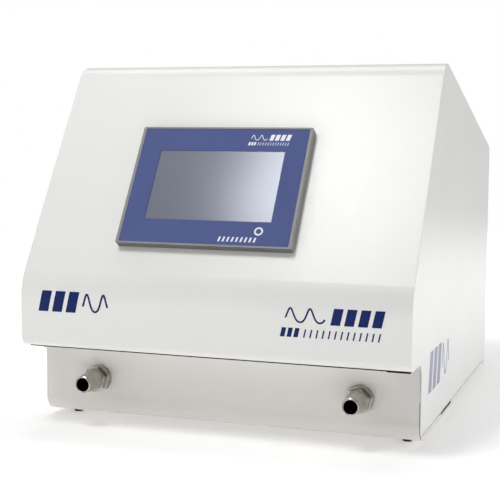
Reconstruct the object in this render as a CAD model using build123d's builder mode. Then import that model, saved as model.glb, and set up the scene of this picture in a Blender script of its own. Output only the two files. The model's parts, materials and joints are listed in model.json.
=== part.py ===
from build123d import *
import os
from math import atan2, cos, pi, sin

os.makedirs("parts", exist_ok=True)

# Desktop ventilator: a sheet-metal hood with a sloped control face over a chassis tray.
# Millimetres. +X to the right of someone facing the front, +Y to the back, +Z up.
# Origin: centre of the footprint, on the surface that the feet stand on.

# ------------------------------------------------------------------ driving dimensions
case_width = 460.0
case_depth = 542.0
rear_reach = 30.0           # how far the gas inlets stand out behind the case
sheet = 1.5                 # thickness of all folded steel
foot_height = 7.0
lip_bottom = 90.0           # heights above the underside of the tray
lip_top = 165.3
ridge_height = 423.6        # where the front slope and the rear slope would meet
rear_shoulder = 318.6
step_depth = 59.0           # the lower front stands back this far under the lip
ridge_depth = 165.7         # ridge measured back from the lip
seam_height = 8.0           # the hood's side panels end this far above the tray's underside

ridge_radius = 30.0
lip_top_radius = 60.0
lip_bottom_radius = 11.7
shoulder_radius = 16.0
tray_radius = 19.6
step_corner_radius = 12.0

port_spacing = 320.0
port_shift = 1.5            # the pair of ports sits this far right of centre
port_height = 46.0
port_reach = 45.0
port_bore = 7.5             # 15 mm socket for a breathing circuit
port_bore_depth = 52.0
gas_bore = 6.5              # passage behind the sockets

fit_gap = 0.4               # shadow gap between folded sheets

# ------------------------------------------------------------------ places worked out from them
lip_y = -(case_depth + rear_reach) / 2
step_y = lip_y + step_depth
ridge_y = lip_y + ridge_depth
rear_y = lip_y + case_depth
rear_face_y = rear_y - sheet - fit_gap      # outer face of the rear panel
side_x = case_width / 2
skin_x = side_x - sheet                     # half width between the side panels
inner_x = skin_x - fit_gap                  # half width of the sheets that slide between them
base_z = foot_height
floor_z = base_z + sheet                    # top of the tray's floor
lip_z = base_z + lip_bottom
slope_z = base_z + lip_top
ridge_z = base_z + ridge_height
shoulder_z = base_z + rear_shoulder
seam_z = base_z + seam_height
port_z = base_z + port_height
port_xs = (port_shift - port_spacing / 2, port_shift + port_spacing / 2)
port_names = ("inspiratory", "expiratory")


upward = (Align.CENTER, Align.CENTER, Align.MIN)
downward = (Align.CENTER, Align.CENTER, Align.MAX)


def wall(y):
    """Upright plane across the case at depth y: local x and y are X and Z, normal to the front."""
    return Plane.XZ.offset(-y)


def turned_hexagon(flats, length, crown=1.3):
    """Hexagonal bar from the origin towards -Y, with its corners turned off at both ends."""
    corner = flats / 2 / cos(pi / 6) + 0.1
    face_radius = flats / 2 - 0.3
    with BuildPart() as bar:
        with BuildSketch(Plane.XZ):
            RegularPolygon(flats / 2, 6, major_radius=False)
        extrude(amount=length)
        with BuildSketch(Plane.XY):
            with BuildLine():
                Polyline((0, 0), (face_radius, 0), (corner, -crown), (corner, crown - length),
                         (face_radius, -length), (0, -length), close=True)
            make_face()
        revolve(axis=Axis.Y, mode=Mode.INTERSECT)
    return bar.part


# ================================================================== enclosure
hood_path = ((step_y - 1, lip_z), (lip_y, lip_z), (lip_y, slope_z), (ridge_y, ridge_z),
             (rear_y, shoulder_z), (rear_y, shoulder_z - 30))
hood_radii = (lip_bottom_radius, lip_top_radius, ridge_radius, shoulder_radius)
side_outline = ((step_y, base_z), (step_y, lip_z), (lip_y, lip_z), (lip_y, slope_z),
                (ridge_y, ridge_z), (rear_y, shoulder_z), (rear_y, base_z))
side_radii = (tray_radius, step_corner_radius, lip_bottom_radius, lip_top_radius,
              ridge_radius, shoulder_radius, 1)

# The control panel's own plane, on the outside of the sloped sheet.
slope_run = ridge_y - lip_y
slope_rise = ridge_z - slope_z
slope_lean = atan2(slope_run, slope_rise)
panel_x = -13.2
panel_up_slope = 128.7
panel_centre = (panel_x, lip_y + panel_up_slope * sin(slope_lean),
                slope_z + panel_up_slope * cos(slope_lean))
panel_plane = Plane(panel_centre, x_dir=(1, 0, 0), z_dir=(0, -cos(slope_lean), sin(slope_lean)))
panel_opening = (192.0, 138.0)

rear_screw_z = shoulder_z - 24
rear_screw_xs = (-190, -65, 65, 190)
rear_screw_radius = 2.0

with BuildPart() as hood_shell:
    with BuildSketch(Plane.YZ.offset(-skin_x)):
        with BuildLine():
            FilletPolyline(*hood_path, radius=hood_radii)
            offset(amount=sheet, side=Side.RIGHT)
        make_face()
    extrude(amount=2 * skin_x)
    with BuildSketch(panel_plane.offset(-10)):
        RectangleRounded(*panel_opening, 3)
    extrude(amount=20, mode=Mode.SUBTRACT)
    # The return flange under the lip stops short of both side panels.
    with BuildSketch(Plane.XY.offset(lip_z - 1)):
        with Locations((-skin_x, step_y), (skin_x, step_y)):
            Rectangle(56, 2 * (step_depth - lip_bottom_radius))
    extrude(amount=sheet + 2, mode=Mode.SUBTRACT)
    with BuildSketch(wall(rear_y + 1)):
        with Locations([(x, rear_screw_z) for x in rear_screw_xs]):
            Circle(rear_screw_radius + 0.2)
    extrude(amount=8, mode=Mode.SUBTRACT)
hood_shell.part.label = "hood_shell"
export_step(hood_shell.part, "parts/hood_shell.step")

with BuildPart() as hood_side_right:
    with BuildSketch(Plane.YZ.offset(skin_x)):
        with BuildLine():
            FilletPolyline(*side_outline, radius=side_radii, close=True)
        make_face()
        with Locations((0, base_z)):
            Rectangle(2 * case_depth, 2 * seam_height, mode=Mode.SUBTRACT)
    extrude(amount=sheet)
    fillet(hood_side_right.faces().sort_by(Axis.X)[-1].edges(), radius=1.0)
hood_side_right.part.label = "hood_side_right"
export_step(hood_side_right.part, "parts/hood_side_right.step")

with BuildPart() as hood_side_left:
    mirror(hood_side_right.part, about=Plane.YZ)
hood_side_left.part.label = "hood_side_left"
export_step(hood_side_left.part, "parts/hood_side_left.step")

# The tray is the lower front, the floor and a short rear flange, folded from one sheet.
tray_front_top = lip_z + 26
tray_path = ((step_y + 16, tray_front_top), (step_y, tray_front_top), (step_y, base_z),
             (rear_face_y - sheet - 0.1, base_z), (rear_face_y - sheet - 0.1, base_z + 16))
strip_slot = (182.0, 252.0)                 # slot in the seam, measured back from the lip
foot_radius = 6.0
foot_taper = 0.8
foot_places = [(x, y) for x in (-207, 207) for y in (step_y + 39, rear_y - 50)]
exhaust_radius = 9.0
exhale_valve_y = step_y + 133

with BuildPart() as chassis_tray:
    with BuildSketch(Plane.YZ.offset(-inner_x)):
        with BuildLine():
            FilletPolyline(*tray_path, radius=(2.5, tray_radius, 2.5))
            offset(amount=sheet, side=Side.LEFT)
        make_face()
    extrude(amount=2 * inner_x)
    # Side strips: flush with the hood's side panels up to the seam.
    for strip_x in (-side_x, skin_x):
        with BuildSketch(Plane.YZ.offset(strip_x)):
            with BuildLine():
                FilletPolyline((step_y, base_z), (step_y, base_z + 60), (rear_y, base_z + 60),
                               (rear_y, base_z), radius=(tray_radius, 0, 0, 0), close=True)
            make_face()
            with Locations(((step_y + rear_y) / 2, base_z + 60)):
                Rectangle(2 * case_depth, 2 * (60 - seam_height + fit_gap), mode=Mode.SUBTRACT)
        extrude(amount=sheet)
    # Floor out to the strips, then a joggle and an upright flange inside each side panel.
    strip_front_y, strip_back_y = step_y + 22, rear_face_y - sheet - 0.5
    strip_mid_y = (strip_front_y + strip_back_y) / 2
    joggle_mid_y = (step_y + rear_y) / 2 + 8
    joggle_length = rear_y - step_y - 30
    for sign in (-1, 1):
        with Locations(Location((sign * (skin_x - 1), strip_mid_y, base_z + sheet / 2))):
            Box(4, strip_back_y - strip_front_y, sheet)
        with Locations(Location((sign * (skin_x - 2), joggle_mid_y, seam_z - fit_gap - sheet / 2))):
            Box(6, joggle_length, sheet)
        with Locations(Location((sign * (inner_x - 3.2), joggle_mid_y, base_z + 19))):
            Box(sheet, joggle_length, 38 - 2 * sheet)
        # A lanced slot in the seam takes the hood's locating tab.
        slot_y = lip_y + (strip_slot[0] + strip_slot[1]) / 2
        with Locations(Location((sign * side_x, slot_y, seam_z))):
            Box(12, strip_slot[1] - strip_slot[0], 7, mode=Mode.SUBTRACT)
    with BuildSketch(wall(step_y + 5)):
        with Locations([(x, port_z) for x in port_xs]):
            Circle(11.2)
    extrude(amount=10, mode=Mode.SUBTRACT)
    with BuildSketch(Plane.XY.offset(base_z - 1)):
        with Locations(foot_places):
            Circle(2.2)
        with Locations((port_xs[1], exhale_valve_y + 8)):
            Circle(exhaust_radius)
    extrude(amount=sheet + 2, mode=Mode.SUBTRACT)
chassis_tray.part.label = "chassis_tray"
export_step(chassis_tray.part, "parts/chassis_tray.step")

# Rear panel with its openings.
fan_x, fan_z, fan_size, fan_depth, fan_bore = -110.0, 200.0, 80.0, 25.0, 38.0
fan_screw = 71.5 / 2
fan_screw_places = [(fan_x + i * fan_screw, fan_z + j * fan_screw)
                    for i in (-1, 1) for j in (-1, 1)]
inlet_z = base_z + 68
inlet_xs = (-165.0, -95.0)
inlet_names = ("oxygen", "air")
inlet_thread = (7.1, 9.5)                   # screw-thread radii of the two gas inlets
entry_x, entry_z = 150.0, base_z + 72
entry_body = (56.0, 46.0)
earth_x, earth_z = 204.0, base_z + 72

with BuildPart() as rear_panel:
    with BuildSketch(wall(rear_face_y)):
        with Locations((0, (base_z + rear_screw_z + 9) / 2)):
            Rectangle(2 * inner_x, rear_screw_z + 9 - base_z)
        with Locations((fan_x, fan_z)):
            Circle(fan_bore, mode=Mode.SUBTRACT)
        with Locations(fan_screw_places):
            Circle(2.1, mode=Mode.SUBTRACT)
        with Locations([(x, inlet_z) for x in inlet_xs]):
            Circle(10.2, mode=Mode.SUBTRACT)
        with Locations((entry_x, entry_z)):
            Rectangle(entry_body[0] + 1, entry_body[1] + 1, mode=Mode.SUBTRACT)
        with Locations((earth_x, earth_z)):
            Circle(3.2, mode=Mode.SUBTRACT)
        with Locations([(x, rear_screw_z) for x in rear_screw_xs]):
            Circle(rear_screw_radius, mode=Mode.SUBTRACT)
        with Locations((110, fan_z)):
            with GridLocations(75, 12, 2, 7):
                SlotOverall(62, 4, mode=Mode.SUBTRACT)
    extrude(amount=sheet)
    with Locations(Location((0, rear_face_y - 7, rear_screw_z + 9 - sheet / 2))):
        Box(2 * inner_x, 14, sheet)
rear_panel.part.label = "rear_panel"
export_step(rear_panel.part, "parts/rear_panel.step")

with BuildPart() as rubber_feet:
    for x, y in foot_places:
        with BuildSketch(Plane.XY):
            with Locations((x, y)):
                Circle(foot_radius - foot_taper)
        with BuildSketch(Plane.XY.offset(foot_height)):
            with Locations((x, y)):
                Circle(foot_radius)
        loft()
        with Locations(Location((x, y, 1))):
            Cylinder(3.4, 3.2, align=downward, mode=Mode.SUBTRACT)
        with Locations(Location((x, y, 0))):
            Cylinder(3.4, 2.5, align=upward, mode=Mode.SUBTRACT)
            Cylinder(2.05, foot_height, align=upward, mode=Mode.SUBTRACT)
rubber_feet.part.label = "rubber_feet"
export_step(rubber_feet.part, "parts/rubber_feet.step")

# One group of screws: four hold the hood to the rear panel, four hold the feet to the tray.
rear_screw_places = [(x, rear_screw_z) for x in rear_screw_xs]
with BuildPart() as case_screws:
    with BuildSketch(wall(rear_y)):
        with Locations(rear_screw_places):
            Circle(rear_screw_radius - 0.05)
    extrude(amount=12)
    with BuildSketch(wall(rear_y + 2.2)):
        with Locations(rear_screw_places):
            Circle(4)
    extrude(amount=2.2)
    fillet(case_screws.faces().filter_by(Axis.Y).sort_by(Axis.Y)[-4:].edges(), radius=1.2)
    with BuildSketch(wall(rear_y + 2.2)):
        with Locations(rear_screw_places):
            RegularPolygon(1.3, 6)
    extrude(amount=1.3, mode=Mode.SUBTRACT)
    for x, y in foot_places:
        with Locations(Location((x, y, 1))):
            Cylinder(3.2, 1.5, align=upward)
            Cylinder(2.0, foot_height + 4, align=upward)
        with Locations(Location((x, y, floor_z))):
            Cylinder(3.6, 3, align=upward)
case_screws.part.label = "case_screws"
export_step(case_screws.part, "parts/case_screws.step")

# Raised plate over the pneumatics; it carries the electronics.
plate_z = base_z + 143
plate_half_width = 218.0
plate_front_y, plate_back_y = lip_y + 228, rear_y - 30
pillar_places = [(x, y) for x in (-212, 212) for y in (plate_front_y + 8, plate_back_y - 8)]

with BuildPart() as component_plate:
    with BuildSketch(Plane.XY.offset(plate_z)):
        with Locations((0, (plate_front_y + plate_back_y) / 2)):
            Rectangle(2 * plate_half_width, plate_back_y - plate_front_y)
        with Locations(pillar_places):
            Circle(2.2, mode=Mode.SUBTRACT)
    extrude(amount=sheet)
    with Locations(Location((0, plate_front_y + sheet / 2, plate_z + 7))):
        Box(2 * plate_half_width - 30, sheet, 14)
component_plate.part.label = "component_plate"
export_step(component_plate.part, "parts/component_plate.step")

with BuildPart() as plate_pillars:
    for x, y in pillar_places:
        with BuildSketch(Plane.XY.offset(floor_z)):
            with Locations((x, y)):
                RegularPolygon(5, 6, major_radius=False)
        extrude(amount=plate_z - floor_z)
        with Locations(Location((x, y, plate_z))):
            Cylinder(2.0, 5, align=upward)
        with Locations(Location((x, y, plate_z + sheet))):
            Cylinder(4.0, 2.6, align=upward)
plate_pillars.part.label = "plate_pillars"
export_step(plate_pillars.part, "parts/plate_pillars.step")

# ================================================================== touch panel
# Heights on the panel plane: 0 is the hood's outer face, positive is outwards.
gasket_thickness = 1.0
bezel_size = (210.6, 156.3)
bezel_height = 10.0
bezel_corner = 2.5
overlay_size = (202.4, 151.0)
overlay_corner = 1.2
overlay_depth = 0.6
screen_window = (152.6, 91.6)
glass_size = (164.0, 104.0)
glass_thickness = 1.8
housing_size = (190.0, 136.0)
housing_depth = 42.0
overlay_floor = bezel_height - 0.9          # bottom of the pocket that the overlay lies in

with BuildPart() as panel_gasket:
    with BuildSketch(panel_plane):
        RectangleRounded(205, 151, 5)
        RectangleRounded(195, 141, 3, mode=Mode.SUBTRACT)
    extrude(amount=gasket_thickness)
panel_gasket.part.label = "panel_gasket"
export_step(panel_gasket.part, "parts/panel_gasket.step")

with BuildPart() as panel_bezel:
    with BuildSketch(panel_plane.offset(gasket_thickness)):
        RectangleRounded(*bezel_size, bezel_corner)
    extrude(amount=bezel_height - gasket_thickness)
    outward = Axis(panel_centre, panel_plane.z_dir)
    fillet(panel_bezel.faces().sort_by(outward)[-1].edges(), radius=0.7)
    with BuildSketch(panel_plane.offset(overlay_floor)):
        RectangleRounded(overlay_size[0] + 0.4, overlay_size[1] + 0.4, overlay_corner + 0.2)
    extrude(amount=5, mode=Mode.SUBTRACT)
    with BuildSketch(panel_plane.offset(overlay_floor - glass_thickness)):
        RectangleRounded(glass_size[0] + 0.6, glass_size[1] + 0.6, 2)
    extrude(amount=5, mode=Mode.SUBTRACT)
    with BuildSketch(panel_plane):
        Rectangle(159, 98)
    extrude(amount=8, mode=Mode.SUBTRACT)
panel_bezel.part.label = "panel_bezel"
export_step(panel_bezel.part, "parts/panel_bezel.step")

with BuildPart() as panel_overlay:
    with BuildSketch(panel_plane.offset(overlay_floor)):
        RectangleRounded(*overlay_size, overlay_corner)
        Rectangle(*screen_window, mode=Mode.SUBTRACT)
    extrude(amount=overlay_depth)
panel_overlay.part.label = "panel_overlay"
export_step(panel_overlay.part, "parts/panel_overlay.step")

with BuildPart() as touch_glass:
    with BuildSketch(panel_plane.offset(overlay_floor - glass_thickness)):
        RectangleRounded(*glass_size, 2.5)
    extrude(amount=glass_thickness)
touch_glass.part.label = "touch_glass"
export_step(touch_glass.part, "parts/touch_glass.step")

with BuildPart() as display_module:
    with BuildSketch(panel_plane.offset(-4)):
        Rectangle(158, 97)
    extrude(amount=overlay_floor - glass_thickness + 3.9)
    with BuildSketch(panel_plane.offset(-4)):
        Rectangle(170, 112)
    extrude(amount=3)
display_module.part.label = "display_module"
export_step(display_module.part, "parts/display_module.step")

with BuildPart() as panel_housing:
    with BuildSketch(panel_plane.offset(-housing_depth)):
        RectangleRounded(*housing_size, 3)
    extrude(amount=housing_depth + gasket_thickness)
    with BuildSketch(panel_plane.offset(-housing_depth + 2)):
        RectangleRounded(housing_size[0] - 4, housing_size[1] - 4, 2)
    extrude(amount=housing_depth + 5, mode=Mode.SUBTRACT)
    with BuildSketch(panel_plane.offset(-housing_depth - 1)):
        with GridLocations(20, 70, 7, 2):
            SlotOverall(28, 3, rotation=90, mode=Mode.ADD)
    extrude(amount=4, mode=Mode.SUBTRACT)
panel_housing.part.label = "panel_housing"
export_step(panel_housing.part, "parts/panel_housing.step")

with BuildPart() as panel_circuit_board:
    with BuildSketch(panel_plane.offset(-18)):
        Rectangle(176, 118)
    extrude(amount=1.6)
    with BuildSketch(panel_plane.offset(-22)):
        with Locations((-40, 12), (25, 20)):
            Rectangle(28, 28)
        with Locations((50, -30), (-50, -35)):
            Rectangle(36, 14)
    extrude(amount=4)
panel_circuit_board.part.label = "panel_circuit_board"
export_step(panel_circuit_board.part, "parts/panel_circuit_board.step")

clamp_places = [(i * (housing_size[0] / 2 + 5.2), j * 42) for i in (-1, 1) for j in (-1, 1)]
with BuildPart() as panel_clamps:
    with BuildSketch(panel_plane.offset(-20)):
        with Locations(clamp_places):
            Rectangle(10, 14)
    extrude(amount=8)
    with BuildSketch(panel_plane.offset(-30)):
        with Locations(clamp_places):
            Circle(2)
    extrude(amount=30 - sheet)
panel_clamps.part.label = "panel_clamps"
export_step(panel_clamps.part, "parts/panel_clamps.step")

# ================================================================== breathing ports
# Each port is a bulkhead fitting: washer, nut, hexagon shoulder, then a plain tube to the mouth.
washer_thickness = 1.5
washer_radius = 15.5
port_nut_length = 8.0
port_nut_flats = 30.0
port_shoulder_length = 7.0
port_shoulder_flats = 25.0
port_thread_radius = 11.0
port_tube_radius = 9.9
port_flare_radius = 12.2
port_hexagon_turn = 16.0
port_inner_end = step_y + 38

for name, x in zip(port_names, port_xs):
    shoulder_y = step_y - washer_thickness - port_nut_length
    with BuildPart() as port:
        with BuildSketch(wall(port_inner_end)):
            with Locations((x, port_z)):
                Circle(port_thread_radius)
        extrude(amount=port_inner_end - shoulder_y)
        with Locations(Location((x, shoulder_y, port_z), (0, -port_hexagon_turn, 0))):
            add(turned_hexagon(port_shoulder_flats, port_shoulder_length))
        tube_y = shoulder_y - port_shoulder_length
        tube_length = port_reach - washer_thickness - port_nut_length - port_shoulder_length
        with BuildSketch(wall(tube_y)):
            with Locations((x, port_z)):
                Circle(port_flare_radius)
        with BuildSketch(wall(tube_y - tube_length)):
            with Locations((x, port_z)):
                Circle(port_tube_radius)
        loft()
        with BuildSketch(wall(port_inner_end + 1)):
            with Locations((x, port_z)):
                Circle(gas_bore)
        extrude(amount=port_reach + 60, mode=Mode.SUBTRACT)
        with BuildSketch(wall(step_y - port_reach + port_bore_depth)):
            with Locations((x, port_z)):
                Circle(port_bore)
        extrude(amount=port_bore_depth + 5, mode=Mode.SUBTRACT)
        mouth_edges = port.edges().filter_by(GeomType.CIRCLE).group_by(Axis.Y)[0]
        chamfer(mouth_edges, length=0.7)
    port.part.label = f"{name}_port"
    export_step(port.part, f"parts/{name}_port.step")

with BuildPart() as port_washers:
    with BuildSketch(wall(step_y)):
        with Locations([(x, port_z) for x in port_xs]):
            Circle(washer_radius)
            Circle(port_thread_radius + 0.1, mode=Mode.SUBTRACT)
    extrude(amount=washer_thickness)
port_washers.part.label = "port_washers"
export_step(port_washers.part, "parts/port_washers.step")

with BuildPart() as port_nuts:
    for nut_y in (step_y - washer_thickness, step_y + sheet + 6):
        nut_length = port_nut_length if nut_y < step_y else 6
        with Locations([Location((x, nut_y, port_z), (0, -port_hexagon_turn, 0)) for x in port_xs]):
            add(turned_hexagon(port_nut_flats, nut_length))
    with BuildSketch(wall(step_y + 30)):
        with Locations([(x, port_z) for x in port_xs]):
            Circle(port_thread_radius + 0.05)
    extrude(amount=60, mode=Mode.SUBTRACT)
port_nuts.part.label = "port_nuts"
export_step(port_nuts.part, "parts/port_nuts.step")

# ================================================================== gas path
# Gas runs forward from the rear inlets: filter, valve, mixing chamber, relief valve, flow sensor,
# inspiratory port. The breath comes back through the expiratory port, its flow sensor and the
# exhalation valve, and leaves through the floor.
inlet_flats = 24.0
inlet_inner_end = rear_face_y - 30

for name, x, thread in zip(inlet_names, inlet_xs, inlet_thread):
    with BuildPart() as inlet:
        with BuildSketch(wall(rear_face_y)):
            with Locations((x, inlet_z)):
                Circle(10)
        extrude(amount=rear_face_y - inlet_inner_end)
        with Locations(Location((x, rear_face_y + 8, inlet_z))):
            add(turned_hexagon(inlet_flats, 8))
        with BuildSketch(wall(rear_y + rear_reach)):
            with Locations((x, inlet_z)):
                Circle(thread)
        extrude(amount=rear_y + rear_reach - rear_face_y - 8)
        chamfer(inlet.faces().filter_by(Axis.Y).sort_by(Axis.Y)[-1].edges(), length=1)
        with BuildSketch(wall(rear_y + rear_reach + 1)):
            with Locations((x, inlet_z)):
                Circle(4)
        extrude(amount=rear_reach + 60, mode=Mode.SUBTRACT)
    inlet.part.label = f"{name}_inlet"
    export_step(inlet.part, f"parts/{name}_inlet.step")

with BuildPart() as inlet_nuts:
    with BuildSketch(wall(rear_face_y - sheet)):
        with Locations([(x, inlet_z) for x in inlet_xs]):
            RegularPolygon(14, 6, major_radius=False)
            Circle(10.05, mode=Mode.SUBTRACT)
    extrude(amount=6)
inlet_nuts.part.label = "inlet_nuts"
export_step(inlet_nuts.part, "parts/inlet_nuts.step")

filter_back_y = rear_face_y - 56
filter_size = 42.0
filter_mid_y = filter_back_y - filter_size / 2
bowl_radius, bowl_bottom_z = 18.0, floor_z + 6
head_bottom_z = inlet_z - 13
with BuildPart() as regulator_heads:
    for x in inlet_xs:
        with Locations(Location((x, filter_mid_y, inlet_z + 3))):
            Box(filter_size, filter_size, 32)
        with Locations(Location((x, filter_mid_y, inlet_z + 19))):
            Cylinder(14, 10, align=upward)
            Cylinder(17, 22, align=upward)
        with Locations(Location((x, filter_mid_y, inlet_z), (90, 0, 0))):
            Cylinder(5, filter_size + 2, mode=Mode.SUBTRACT)
    fillet(regulator_heads.edges().filter_by(Axis.Z), radius=3)
    fillet(regulator_heads.faces().filter_by(Axis.Z).group_by(Axis.Z)[-1].edges(), radius=2)
regulator_heads.part.label = "regulator_heads"
export_step(regulator_heads.part, "parts/regulator_heads.step")

with BuildPart() as filter_bowls:
    for x in inlet_xs:
        with Locations(Location((x, filter_mid_y, bowl_bottom_z))):
            Cylinder(bowl_radius, head_bottom_z - bowl_bottom_z, align=upward)
    fillet(filter_bowls.faces().filter_by(Axis.Z).group_by(Axis.Z)[0].edges(), radius=8)
    for x in inlet_xs:
        with Locations(Location((x, filter_mid_y, bowl_bottom_z + 3))):
            Cylinder(bowl_radius - 2.5, 80, align=upward, mode=Mode.SUBTRACT)
filter_bowls.part.label = "filter_bowls"
export_step(filter_bowls.part, "parts/filter_bowls.step")

manifold_y = (step_y + 276, step_y + 316)
manifold_x = (-190.0, -70.0)
manifold_top_z = floor_z + 35
manifold_port_z = floor_z + 17
valve_y = sum(manifold_y) / 2
with BuildPart() as valve_manifold:
    with Locations(Location((sum(manifold_x) / 2, valve_y, floor_z + 17.5))):
        Box(manifold_x[1] - manifold_x[0], manifold_y[1] - manifold_y[0], 35)
    chamfer(valve_manifold.edges().filter_by(Axis.Z), length=2)
    for x in inlet_xs:
        with Locations(Location((x, valve_y, manifold_port_z), (90, 0, 0))):
            Cylinder(5, 60, mode=Mode.SUBTRACT)
        with Locations(Location((x, valve_y, manifold_port_z))):
            Cylinder(3, 40, align=upward, mode=Mode.SUBTRACT)
valve_manifold.part.label = "valve_manifold"
export_step(valve_manifold.part, "parts/valve_manifold.step")

valve_body_height = 26.0
coil_height = 42.0
plunger_radius = 5.0
plunger_length = 34.0
valve_travel = 3.0
for name, x in zip(inlet_names, inlet_xs):
    with BuildPart() as valve_body:
        with Locations(Location((x, valve_y, manifold_top_z + valve_body_height / 2))):
            Box(34, 34, valve_body_height)
        fillet(valve_body.edges().filter_by(Axis.Z), radius=3)
        with Locations(Location((x, valve_y, manifold_top_z + valve_body_height))):
            Cylinder(7.5, coil_height + 3, align=upward)
        with Locations(Location((x, valve_y, manifold_top_z + 12))):
            Cylinder(plunger_radius + 0.05, valve_body_height + coil_height - 12,
                     align=upward, mode=Mode.SUBTRACT)
        with Locations(Location((x, valve_y, manifold_top_z - 1))):
            Cylinder(3, 20, align=upward, mode=Mode.SUBTRACT)
    valve_body.part.label = f"{name}_valve_body"
    export_step(valve_body.part, f"parts/{name}_valve_body.step")

    with BuildPart() as valve_coil:
        with Locations(Location((x, valve_y, manifold_top_z + valve_body_height + 0.5))):
            Box(36, 36, coil_height - 1, align=upward)
        fillet(valve_coil.edges().filter_by(Axis.Z), radius=5)
        with Locations(Location((x, valve_y - 22, manifold_top_z + valve_body_height + 20))):
            Box(20, 12, 22)
        with Locations(Location((x, valve_y, manifold_top_z))):
            Cylinder(7.6, 90, align=upward, mode=Mode.SUBTRACT)
    valve_coil.part.label = f"{name}_valve_coil"
    export_step(valve_coil.part, f"parts/{name}_valve_coil.step")

    with BuildPart() as valve_plunger:
        with Locations(Location((x, valve_y, manifold_top_z + 12.05))):
            Cylinder(plunger_radius, plunger_length, align=upward)
        chamfer(valve_plunger.faces().filter_by(Axis.Z).edges(), length=0.6)
    valve_plunger.part.label = f"{name}_valve_plunger"
    export_step(valve_plunger.part, f"parts/{name}_valve_plunger.step")

# Mixing chamber, with a spigot towards the relief valve and an oxygen cell on top.
chamber_x = (-204.0, -72.0)
chamber_y = (step_y + 157, step_y + 256)
chamber_top_z = floor_z + 84
spigot_radius = 9.0
tee_y = (step_y + 109, step_y + 149)
tee_size = 38.0
with BuildPart() as mixing_chamber:
    with Locations(Location((sum(chamber_x) / 2, sum(chamber_y) / 2, (floor_z + chamber_top_z) / 2))):
        Box(chamber_x[1] - chamber_x[0], chamber_y[1] - chamber_y[0], chamber_top_z - floor_z)
    fillet(mixing_chamber.edges().filter_by(Axis.Z), radius=12)
    offset(amount=-4, kind=Kind.INTERSECTION, mode=Mode.SUBTRACT)
    with BuildSketch(wall(chamber_y[0] + 2)):
        with Locations((port_xs[0], port_z)):
            Circle(spigot_radius)
    extrude(amount=2 + chamber_y[0] - tee_y[1])
    with BuildSketch(wall(chamber_y[0] + 6)):
        with Locations((port_xs[0], port_z)):
            Circle(spigot_radius - 2)
    extrude(amount=30, mode=Mode.SUBTRACT)
    with BuildSketch(wall(chamber_y[1] + 1)):
        with Locations([(x, manifold_port_z) for x in inlet_xs]):
            Circle(4.9)
    extrude(amount=7, mode=Mode.SUBTRACT)
mixing_chamber.part.label = "mixing_chamber"
export_step(mixing_chamber.part, "parts/mixing_chamber.step")

with BuildPart() as oxygen_cell:
    with Locations(Location((-110, sum(chamber_y) / 2, chamber_top_z))):
        Cylinder(15, 34, align=upward)
        Cylinder(18, 8, align=upward)
    fillet(oxygen_cell.faces().filter_by(Axis.Z).sort_by(Axis.Z)[-1].edges(), radius=2)
oxygen_cell.part.label = "oxygen_cell"
export_step(oxygen_cell.part, "parts/oxygen_cell.step")

# Flow sensors behind both ports.
sensor_radius = 16.0
sensor_back_y = tee_y[0]
for name, x in zip(port_names, port_xs):
    with BuildPart() as flow_sensor:
        with BuildSketch(wall(sensor_back_y)):
            with Locations((x, port_z)):
                Circle(sensor_radius)
        extrude(amount=sensor_back_y - port_inner_end)
        with Locations(Location((x, (sensor_back_y + port_inner_end) / 2, port_z + 18))):
            Box(26, 44, 16)
        with Locations(Location((x, (sensor_back_y + port_inner_end) / 2, port_z), (90, 0, 0))):
            Cylinder(gas_bore, 90, mode=Mode.SUBTRACT)
        fillet(flow_sensor.faces().filter_by(Axis.Z).sort_by(Axis.Z)[-1].edges(), radius=1.5)
    flow_sensor.part.label = f"{name}_flow_sensor"
    export_step(flow_sensor.part, f"parts/{name}_flow_sensor.step")

# Spring-loaded relief valve on the inspiratory side.
tee_mid = (port_xs[0], sum(tee_y) / 2)
tee_top_z = port_z + tee_size / 2
relief_seat_z = tee_top_z + 6
relief_cap_z = tee_top_z + 32
poppet_radius, poppet_thickness, poppet_stem = 10.0, 3.0, 2.5
relief_travel = 4.0
with BuildPart() as relief_valve_body:
    with Locations(Location((tee_mid[0], tee_mid[1], port_z))):
        Box(tee_size, tee_y[1] - tee_y[0], tee_size)
    fillet(relief_valve_body.edges().filter_by(Axis.Y), radius=4)
    with Locations(Location((tee_mid[0], tee_mid[1], tee_top_z - 1))):
        Cylinder(15, relief_cap_z - tee_top_z + 1, align=upward)
    with Locations(Location((tee_mid[0], tee_mid[1], port_z), (90, 0, 0))):
        Cylinder(gas_bore, 60, mode=Mode.SUBTRACT)
    with Locations(Location((tee_mid[0], tee_mid[1], port_z))):
        Cylinder(7, 70, align=upward, mode=Mode.SUBTRACT)
    with Locations(Location((tee_mid[0], tee_mid[1], relief_seat_z))):
        Cylinder(12, 60, align=upward, mode=Mode.SUBTRACT)
    for angle in range(0, 360, 60):
        with Locations(Location((tee_mid[0], tee_mid[1], relief_seat_z + 8), (0, 0, angle))
                       * Location((14, 0, 0), (0, 90, 0))):
            Cylinder(2.5, 10, mode=Mode.SUBTRACT)
relief_valve_body.part.label = "relief_valve_body"
export_step(relief_valve_body.part, "parts/relief_valve_body.step")

with BuildPart() as relief_valve_cap:
    with Locations(Location((tee_mid[0], tee_mid[1], relief_cap_z))):
        Cylinder(15, 6, align=upward)
        Cylinder(poppet_stem + 0.05, 8, align=upward, mode=Mode.SUBTRACT)
relief_valve_cap.part.label = "relief_valve_cap"
export_step(relief_valve_cap.part, "parts/relief_valve_cap.step")

with BuildPart() as relief_valve_poppet:
    with Locations(Location((tee_mid[0], tee_mid[1], relief_seat_z + 0.05))):
        Cylinder(poppet_radius, poppet_thickness, align=upward)
        Cylinder(poppet_stem, relief_cap_z - relief_seat_z + 8, align=upward)
relief_valve_poppet.part.label = "relief_valve_poppet"
export_step(relief_valve_poppet.part, "parts/relief_valve_poppet.step")

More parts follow.
